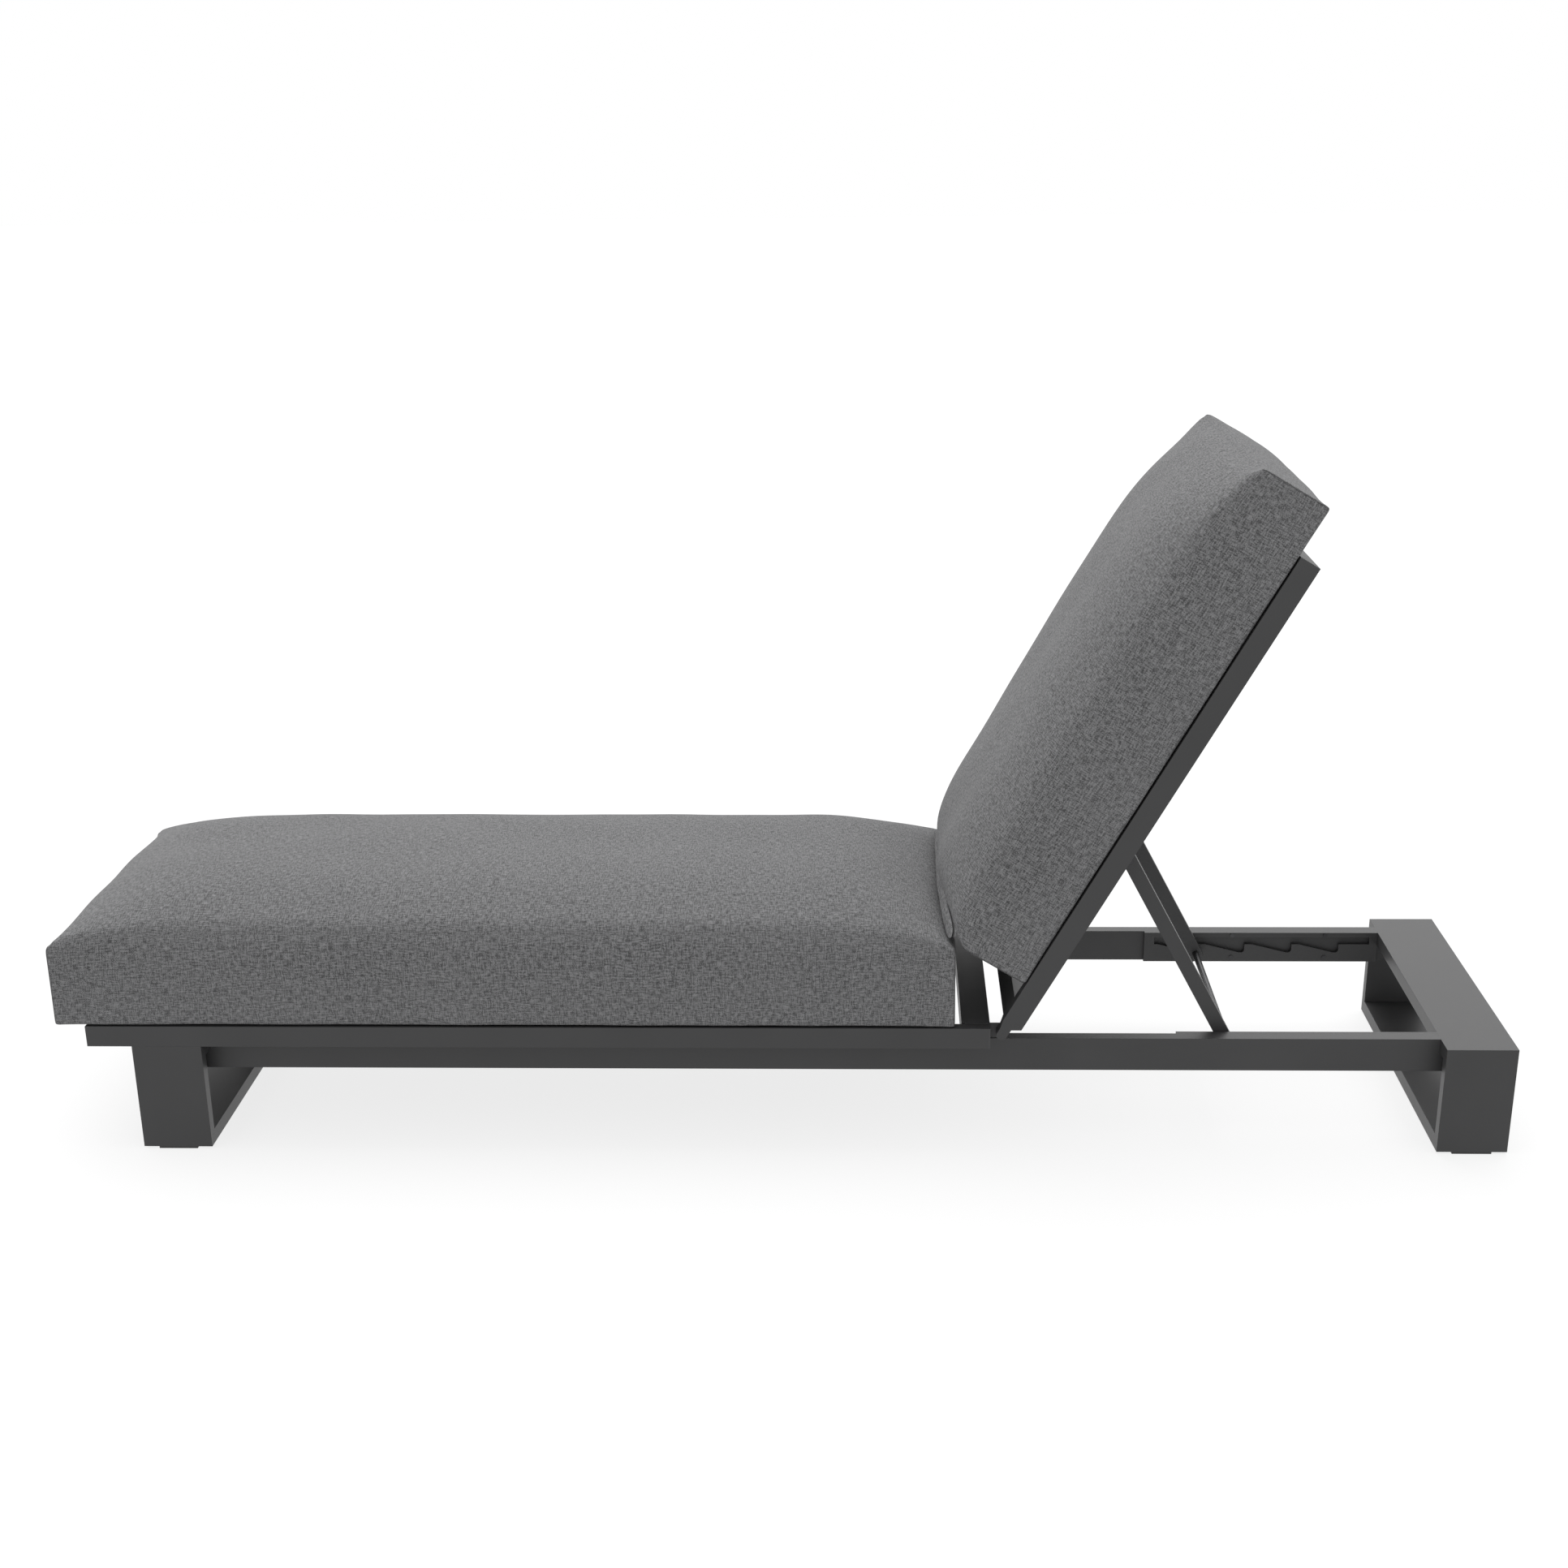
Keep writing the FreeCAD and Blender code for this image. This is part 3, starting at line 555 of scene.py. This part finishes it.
def cushion(name, node, axes, origin, crown, fullness, bulge, overrun, seed):
    """A filled box cushion that stands for a CAD solid, in axes along, across and out of what it lies on.

    It starts as the stuffed shape, a little smaller, and the cloth simulation fills it while the face that
    lies on the slats is held. The swelling is levelled, so that no sharp pinches stay. A share of it, less
    its mean and dying away towards the stiff end seams, is laid on the stuffed shape. Last come a soft
    unevenness and the seams where the end panels meet the sides.
    """
    sizes = bpy.context.scene.lounger_cushions
    low, high = spans(node, axes, origin)
    length, width, height = high - low
    points, quads, cloth, share = pad_surface(length, width, height, sizes.step, sizes.round, sizes.heel)
    a, b, c = share.T
    target = stuffed(points, share, crown, sizes.across, sizes.edge, fullness, bulge, overrun)
    target += (low + high) / 2
    start = target * 0.99 + target.mean(axis=0) * 0.01
    loose = c > -1 + TOUCH
    start[~loose, 2] = target[~loose, 2]
    piece = mesh_piece(name, start @ axes + origin, quads, cloth)
    finished = target
    filled = (fill(piece, ~loose, sizes.pressure, sizes.limit) - origin) @ axes.T
    swelling = levelled(filled - start, quads, LEVELLING_ROUNDS)
    swelling[loose] -= swelling[loose].mean(axis=0)
    finished = target + sizes.swell * (loose * (1 - 0.85 * np.abs(a) ** 8))[:, None] * swelling
    finished = finished @ axes + origin
    piece.data.vertices.foreach_set("co", finished.astype(np.float32).ravel())
    piece.data.update()
    normals = normals_of(piece)
    on_side, on_end = np.abs(b) > 1 - TOUCH, np.abs(a) > 1 - TOUCH
    gap = np.where(on_end, (1 - np.abs(b)) * width / 2, 1.0)
    gap = np.where(on_side, (1 - np.abs(a)) * length / 2, gap)
    groove = -np.exp(-(gap / (2 * MM)) ** 2) + 0.45 * np.exp(-((gap - 6 * MM) / (3 * MM)) ** 2)
    uneven = ripple(share, length, width, seed) * MM * loose
    finished += normals * (uneven + groove * sizes.seam)[:, None]
    local = (finished - origin) @ axes.T
    local[:, 2] = np.maximum(local[:, 2], low[2])
    finished = local @ axes + origin
    piece.data.vertices.foreach_set("co", finished.astype(np.float32).ravel())
    # The seam attribute marks how near a point lies to a seam; the cloth finish paints shade along it.
    seam = piece.data.attributes.new("seam", "FLOAT", "POINT")
    seam.data.foreach_set("value", np.exp(-(gap / SEAM_SHADE_WIDTH) ** 2).astype(np.float32))
    piece.data.update()
    smooth = piece.modifiers.new("Smooth cloth", "SUBSURF")
    smooth.levels = smooth.render_levels = 1
    return piece


def hem(name, middle, arch, outwards, inwards, reach, seed):
    """A folded strip of cloth along a cushion's edge: a flat, round-edged profile swept across the pad.

    The profile is a flattened ring in the plane of two directions, reaching 9 mm each way along the first and
    2.2 mm along the second. Its middle follows arch (1 - |w|^3), w from -1 to 1 across the pad, and a sum of
    three slow waves. It narrows to a round tip at each end.
    """
    rng = np.random.default_rng(seed)
    way, turn = np.linspace(-1, 1, 121), np.linspace(0, math.tau, 24, endpoint=False)
    phase = rng.uniform(0, math.tau, 3)
    wave = sum(np.sin(way * speed + start) for speed, start in zip((4.0, 9.0, 17.0), phase)) / 3
    taper = np.sqrt(np.clip(1 - np.abs(way) ** 24, 0.0, 1.0))[:, None]
    flat, thick = 9 * MM * np.cos(turn) * taper, 2.2 * MM * np.sin(turn) * taper
    path = middle + np.multiply.outer(way * reach, ACROSS)
    ring = (path + np.multiply.outer(1 - np.abs(way) ** 3, arch))[:, None, :]
    ring = ring + (flat + (1.5 * MM * wave)[:, None])[..., None] * outwards + thick[..., None] * inwards
    points = ring.reshape(-1, 3)
    index = np.arange(len(points)).reshape(len(way), len(turn))
    index = np.concatenate([index, index[:, :1]], axis=1)
    flip = np.dot(np.cross(outwards, inwards), ACROSS) > 0
    cloth = np.stack(np.meshgrid(way * reach, np.linspace(0, 24 * MM, 25), indexing="ij"), axis=-1)
    corners = sheet_of_quads(np.arange(index.size).reshape(index.shape), flip)
    piece = mesh_piece(name, points, sheet_of_quads(index, flip), cloth.reshape(-1, 2)[corners])
    # The strip has no seams, so it gets no painted seam shade.
    seam = piece.data.attributes.new("seam", "FLOAT", "POINT")
    seam.data.foreach_set("value", np.zeros(len(points), np.float32))
    return piece


def finish_of(name, make):
    """A material by name, made once."""
    return bpy.data.materials.get(name) or make()


def paint(node, material):
    """Gives a CAD node a material."""
    slots = frame["nodes"][node].data.materials
    slots.clear()
    slots.append(material)


# ------------------------------------------------------------------------------------------------ operators

class LOUNGER_OT_stage(Operator):
    """Puts down the floor and sets up the light and the camera"""

    bl_idname = "lounger.stage"
    bl_label = "Studio"

    def execute(self, context):
        scene, studio = context.scene, context.scene.lounger_studio
        scene.view_settings.view_transform = "Standard"
        corners = FLOOR_REACH * np.array([(-1, -1, 0), (1, -1, 0), (1, 1, 0), (-1, 1, 0)], float)
        floor = mesh_piece("studio_floor", corners, np.array([[0, 1, 2, 3]]), smooth=False)
        finish = Finish("studio_floor", Roughness=0.9, Specular_IOR_Level=0.1, Emission_Color=(1, 1, 1, 1),
                        Emission_Strength=studio.floor_glow)
        worn = finish.noise(finish.place(), 3.0, 2.0)
        tone = (studio.floor_tone,) * 3
        finish.drive("Base Color", finish.blend(worn, shade(tone, 0.995), shade(tone, 1.0)))
        floor.data.materials.append(finish.material)
        world = bpy.data.worlds.new("studio")
        world.use_nodes = True
        world.node_tree.nodes["Background"].inputs["Color"].default_value = (1, 1, 1, 1)
        world.node_tree.nodes["Background"].inputs["Strength"].default_value = studio.sky
        scene.world = world
        light = bpy.data.lights.new("softbox", "SUN")
        light.energy, light.angle = studio.key, studio.key_spread
        lamp = bpy.data.objects.new("softbox", light)
        lamp.rotation_euler = (-studio.key_back, -studio.key_head, 0)
        scene.collection.objects.link(lamp)
        camera = bpy.data.cameras.new("camera")
        camera.sensor_width, camera.lens, camera.shift_y = 36, studio.lens, studio.shift
        holder = bpy.data.objects.new("camera", camera)
        turn = Matrix.Rotation(studio.yaw, 3, "Z")
        tilt = Matrix.Rotation(math.pi / 2 - studio.pitch, 3, "X")
        lean = Matrix.Rotation(studio.roll, 3, "Z")
        holder.matrix_world = Matrix.Translation(studio.place) @ (turn @ tilt @ lean).to_4x4()
        scene.collection.objects.link(holder)
        scene.camera = holder
        return {"FINISHED"}


class LOUNGER_OT_metalwork(Operator):
    """Powder-coats the hoops, rails, slats, backrest and prop"""

    bl_idname = "lounger.metalwork"
    bl_label = "Metalwork"

    def execute(self, context):
        coated = finish_of("coated_metal", lambda: powder_coat(context.scene.lounger_coat))
        for part in frame["record"]["subparts"]:
            if part["material_slot"] == "powder_coat":
                paint(part["node"], coated)
        return {"FINISHED"}


class LOUNGER_OT_fittings(Operator):
    """Finishes the glides, caps, washers, bolts, rivets and the prop's rod"""

    bl_idname = "lounger.fittings"
    bl_label = "Fittings"

    def execute(self, context):
        made = {
            "glide_plastic": moulded_plastic("moulded_glide", (0.018, 0.018, 0.018), 0.55),
            "cap_plastic": moulded_plastic("moulded_cap", (0.028, 0.028, 0.029), 0.42),
            "washer_plastic": moulded_plastic("moulded_washer", (0.040, 0.040, 0.041), 0.42),
            "steel_fastener": turned_steel(context.scene.lounger_coat),
        }
        for part in frame["record"]["subparts"]:
            if part["material_slot"] in made:
                paint(part["node"], made[part["material_slot"]])
        return {"FINISHED"}


class LOUNGER_OT_seat_cushion(Operator):
    """Fills the seat cushion on the deck"""

    bl_idname = "lounger.seat_cushion"
    bl_label = "Seat cushion"

    def execute(self, context):
        sizes = context.scene.lounger_cushions
        piece = cushion(
            "seat_pad", "seat_cushion", np.eye(3), np.zeros(3), sizes.seat_crown,
            fullness=(9.5, 8.5), bulge=(sizes.bulge, 0.0), overrun=0.0, seed=11,
        )
        piece.data.materials.append(finish_of("heathered_cloth", lambda: heathered_cloth(sizes)))
        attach(piece, "frame")
        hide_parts("seat_cushion")
        return {"FINISHED"}


class LOUNGER_OT_back_cushion(Operator):
    """Fills the back cushion on the backrest"""

    bl_idname = "lounger.back_cushion"
    bl_label = "Back cushion"

    def execute(self, context):
        sizes = context.scene.lounger_cushions
        joints = {joint["name"]: joint for joint in frame["joints"]}
        hinge = np.array(joints["backrest_recline"]["pos_m"])
        up_back = -np.array(joints["back_pad_slide"]["axis"], float)
        up_back /= np.linalg.norm(up_back)
        axes = np.array([up_back, ACROSS, np.cross(up_back, ACROSS)])
        piece = cushion(
            "back_pad_cover", "back_cushion", axes, hinge, sizes.back_crown,
            fullness=(20.0, 4.5), bulge=(-sizes.bulge / 2, sizes.bulge), overrun=8 * MM, seed=23,
        )
        piece.data.materials.append(finish_of("heathered_cloth", lambda: heathered_cloth(sizes)))
        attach(piece, "back_pad")
        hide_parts("back_cushion")
        return {"FINISHED"}


class LOUNGER_OT_hinge_strips(Operator):
    """Sews the two folded strips that join the cushions"""

    bl_idname = "lounger.hinge_strips"
    bl_label = "Hinge strips"

    def execute(self, context):
        sizes = context.scene.lounger_cushions
        low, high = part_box("seat_cushion")
        reach = (high[1] - low[1]) / 2 - 12 * MM
        cloth = finish_of("heathered_cloth", lambda: heathered_cloth(sizes))
        out, side = np.array([0.42, 0.0, 0.907]), np.array([0.907, 0.0, -0.42])
        strips = (("seat_hem", "frame", 0.0, 31), ("back_hem", "back_pad", 5.5 * MM, 37))
        for name, body, shift, seed in strips:
            middle = np.array([high[0] + shift - 8 * MM, 0.0, high[2] + 8 * MM])
            piece = hem(name, middle, np.array([-12, 0, 24]) * MM, out, side, reach, seed)
            piece.data.materials.append(cloth)
            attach(piece, body)
        return {"FINISHED"}


class LOUNGER_PT_panel(Panel):
    """Lists the lounger's pieces and sizes"""

    bl_idname = "LOUNGER_PT_panel"
    bl_label = "Sun lounger"
    bl_space_type = "VIEW_3D"
    bl_region_type = "UI"
    bl_category = "Lounger"

    def draw(self, context):
        for step in STEPS:
            self.layout.operator(step.bl_idname)
        for group in GROUPS:
            box = self.layout.box()
            settings = getattr(context.scene, group)
            for name in settings.bl_rna.properties.keys():
                if name not in ("rna_type", "name"):
                    box.prop(settings, name)


GROUPS = {"lounger_studio": LoungerStudio, "lounger_coat": LoungerCoat, "lounger_cushions": LoungerCushions}
STEPS = (
    LOUNGER_OT_stage,
    LOUNGER_OT_metalwork,
    LOUNGER_OT_fittings,
    LOUNGER_OT_seat_cushion,
    LOUNGER_OT_back_cushion,
    LOUNGER_OT_hinge_strips,
)


def register():
    for group, kind in GROUPS.items():
        bpy.utils.register_class(kind)
        setattr(bpy.types.Scene, group, PointerProperty(type=kind))
    for kind in (*STEPS, LOUNGER_PT_panel):
        bpy.utils.register_class(kind)


def unregister():
    for kind in reversed((*STEPS, LOUNGER_PT_panel)):
        bpy.utils.unregister_class(kind)
    for group, kind in reversed(GROUPS.items()):
        delattr(bpy.types.Scene, group)
        bpy.utils.unregister_class(kind)


def main():
    register()
    bpy.ops.lounger.stage()
    bpy.ops.lounger.metalwork()
    bpy.ops.lounger.fittings()
    bpy.ops.lounger.seat_cushion()
    bpy.ops.lounger.back_cushion()
    bpy.ops.lounger.hinge_strips()


if __name__ == "__main__":
    main()
